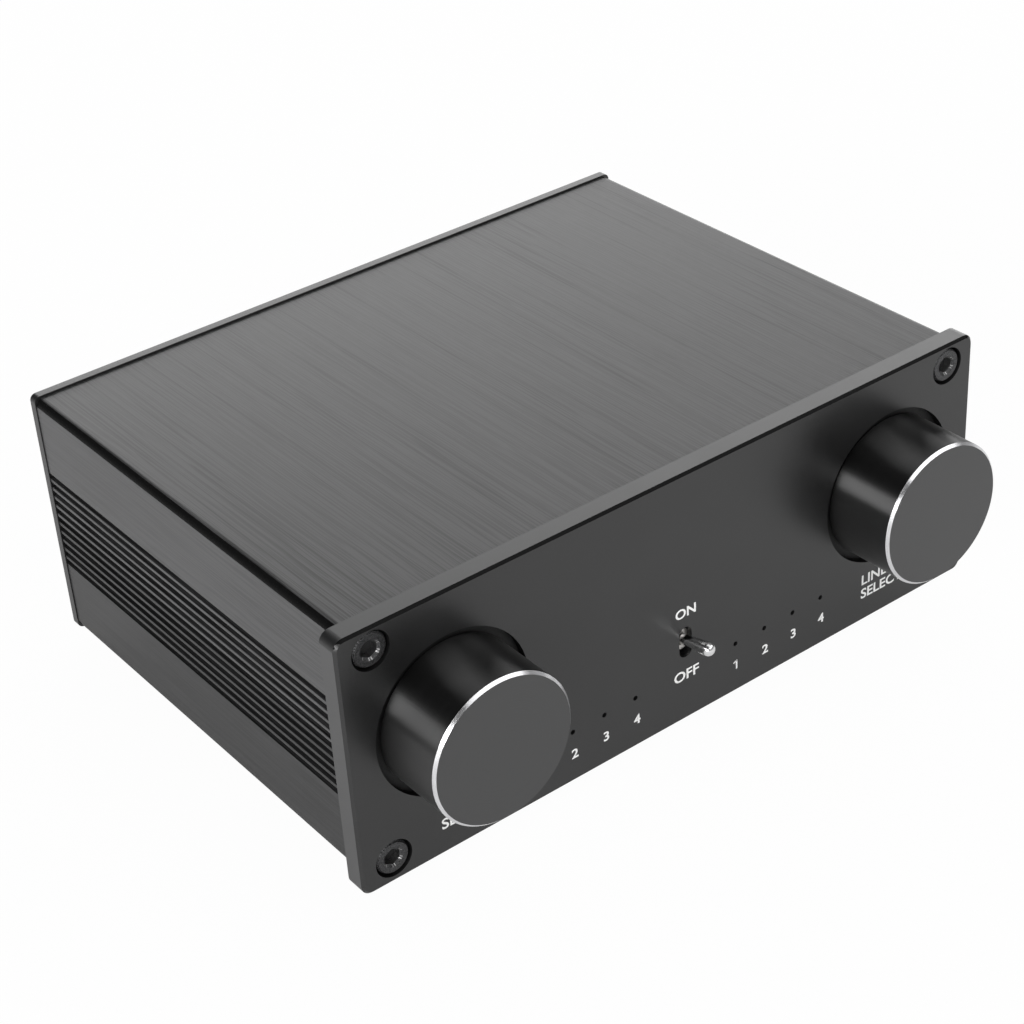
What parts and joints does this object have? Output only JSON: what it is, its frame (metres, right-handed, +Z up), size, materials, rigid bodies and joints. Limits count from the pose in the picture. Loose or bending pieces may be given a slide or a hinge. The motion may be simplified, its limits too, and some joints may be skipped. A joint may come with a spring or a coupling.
{
  "type": "audio source selector",
  "caption": "Black aluminium desk box that routes audio from a chosen source to a chosen output, with large front knobs, a power toggle, indicator pinholes and rows of phono jacks at the back.",
  "frame": {"origin": "middle of the footprint, knobs and jacks included, on the surface that the feet stand on", "axes": "+Z up, -Y towards the user and the front panel, +X to the right as the user sees it"},
  "size_m": [0.204, 0.1764, 0.0788],
  "materials": {
    "anodised_panel": "black anodised, fine satin",
    "anodised_body": "black anodised, brushed along its length",
    "knob_metal": "black anodised, turned, with a bright cut edge",
    "black_screw": "black oxide",
    "bright_chrome": "polished",
    "nickel": "nickel plate",
    "steel": "zinc plate",
    "brass": "plain",
    "gold_plate": "gold plate",
    "rubber": "matt",
    "black_plastic": "fine moulded",
    "ivory_plastic": "moulded",
    "white_plastic": "moulded",
    "red_plastic": "moulded",
    "relay_case": "moulded",
    "toggle_case": "moulded",
    "board": "green lacquer on glass fibre",
    "lamp": "clear lens",
    "ribbon": "grey cable",
    "capacitor_sleeve": "shrunk sleeve"
  },
  "bodies": {
    "chassis": {"front_panel": "anodised_panel", "upper_shell": "anodised_body", "lower_shell": "anodised_body", "rear_panel": "anodised_panel", "front_panel_screws": "black_screw", "rear_panel_screws": "black_screw", "rubber_feet": "rubber", "foot_screws": "steel", "input_switch_bushing": "nickel", "input_switch_housing": "black_plastic", "input_switch_terminals": "brass", "input_switch_washer": "steel", "input_switch_nut": "nickel", "input_leds": "lamp", "input_relays": "relay_case", "input_jack_block": "black_plastic", "input_jack_sleeves": "gold_plate", "input_left_inserts": "white_plastic", "input_right_inserts": "red_plastic", "output_switch_bushing": "nickel", "output_switch_housing": "black_plastic", "output_switch_terminals": "brass", "output_switch_washer": "steel", "output_switch_nut": "nickel", "output_leds": "lamp", "output_relays": "relay_case", "output_jack_block": "black_plastic", "output_jack_sleeves": "gold_plate", "output_left_inserts": "white_plastic", "output_right_inserts": "red_plastic", "toggle_pivot_pin": "steel", "toggle_bushing": "nickel", "toggle_housing": "toggle_case", "toggle_terminals": "brass", "front_board": "board", "led_leads": "steel", "front_header": "black_plastic", "ribbon_cable": "ribbon", "main_header": "black_plastic", "main_board": "board", "board_standoffs": "brass", "board_screws": "steel", "standoff_screws": "steel", "driver_chips": "black_plastic", "filter_capacitors": "capacitor_sleeve", "voltage_regulator": "black_plastic", "jack_block_screws": "black_screw", "power_jack": "black_plastic", "power_jack_pin": "nickel"},
    "input_selector": {"input_knob": "knob_metal", "input_knob_set_screw": "black_screw", "input_switch_shaft": "steel", "input_switch_rotor": "ivory_plastic"},
    "output_selector": {"output_knob": "knob_metal", "output_knob_set_screw": "black_screw", "output_switch_shaft": "steel", "output_switch_rotor": "ivory_plastic"},
    "power_lever": {"toggle_lever": "bright_chrome"},
    "power_contact": {"toggle_contact": "brass"}
  },
  "joints": [
    {"name": "input_knob_turn", "type": "hinge", "parent": "chassis", "child": "input_selector", "pos_m": [-0.0718, -0.06905, 0.0444], "axis": [0, 1, 0], "range_deg": [0, 90]},
    {"name": "output_knob_turn", "type": "hinge", "parent": "chassis", "child": "output_selector", "pos_m": [0.0718, -0.06905, 0.0444], "axis": [0, 1, 0], "range_deg": [0, 90]},
    {"name": "power_lever_tilt", "type": "hinge", "parent": "chassis", "child": "power_lever", "pos_m": [0, -0.06495, 0.0289], "axis": [1, 0, 0], "range_deg": [0, 22]},
    {"name": "power_contact_rock", "type": "hinge", "parent": "chassis", "child": "power_contact", "pos_m": [0, -0.05305, 0.0289], "axis": [1, 0, 0], "range_deg": [-16, 0]}
  ],
  "couplings": [
    {"joint": "power_contact_rock", "follows": "power_lever_tilt", "ratio": -0.72727}
  ]
}
